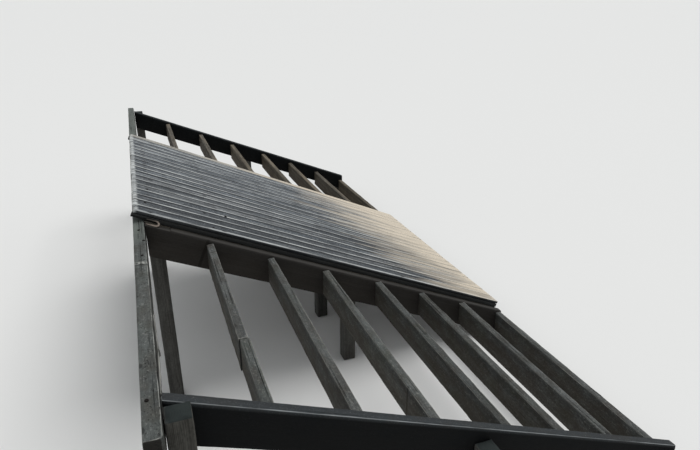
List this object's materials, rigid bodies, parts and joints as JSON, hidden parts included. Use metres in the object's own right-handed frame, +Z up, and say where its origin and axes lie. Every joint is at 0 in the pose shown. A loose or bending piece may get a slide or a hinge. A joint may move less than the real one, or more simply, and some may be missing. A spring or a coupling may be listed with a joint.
{
  "type": "wooden river-bank landing",
  "caption": "Plank ramp sloping down a river bank between flights of timber-edged steps, below a long sill beam.",
  "frame": {"origin": "under the middle of the landing's bounding box, at the level of its lowest timber", "axes": "+X from the bank towards the river, +Y along the bank from the near end to the far end, +Z up"},
  "size_m": [3.5496, 7.787, 1.8436],
  "materials": {
    "weathered_beam": "weathered",
    "weathered_riser": "weathered",
    "dusty_riser": "weathered",
    "edge_timber": "weathered",
    "closing_timber": "weathered",
    "batten_timber": "weathered",
    "frame_timber": "weathered",
    "deck_timber": "weathered",
    "deck_strip": "weathered",
    "post_timber": "weathered"
  },
  "bodies": {
    "root": {"near_sill_beam": "weathered_beam", "far_sill_beam": "weathered_beam", "near_riser_1": "weathered_riser", "near_riser_2": "weathered_riser", "near_riser_3": "weathered_riser", "near_riser_4": "weathered_riser", "near_riser_5": "weathered_riser", "near_riser_6": "weathered_riser", "near_riser_7": "weathered_riser", "far_riser_1": "dusty_riser", "far_riser_2": "dusty_riser", "far_riser_3": "dusty_riser", "far_riser_4": "dusty_riser", "far_riser_5": "dusty_riser", "far_riser_6": "dusty_riser", "far_riser_7": "dusty_riser", "near_edge_board": "edge_timber", "far_edge_board": "edge_timber", "near_closing_board": "closing_timber", "far_closing_board": "closing_timber", "near_rim_batten": "batten_timber", "far_rim_batten": "batten_timber", "cross_bearers": "frame_timber", "near_side_joist": "frame_timber", "far_side_joist": "frame_timber", "near_inner_joist": "frame_timber", "far_inner_joist": "frame_timber", "ramp_foot_sill": "frame_timber", "near_deck_boards": "deck_timber", "middle_deck_boards": "deck_timber", "far_deck_boards": "deck_timber", "narrow_deck_board": "deck_timber", "deck_edge_strip": "deck_strip", "near_corner_post": "post_timber", "near_middle_post": "post_timber", "near_foot_post": "post_timber", "far_corner_post": "post_timber", "far_middle_post": "post_timber", "far_foot_post": "post_timber", "near_head_post": "post_timber", "far_head_post": "post_timber", "near_joist_post": "post_timber", "far_joist_post": "post_timber", "near_inner_post": "post_timber", "far_inner_post": "post_timber"}
  },
  "joints": []
}
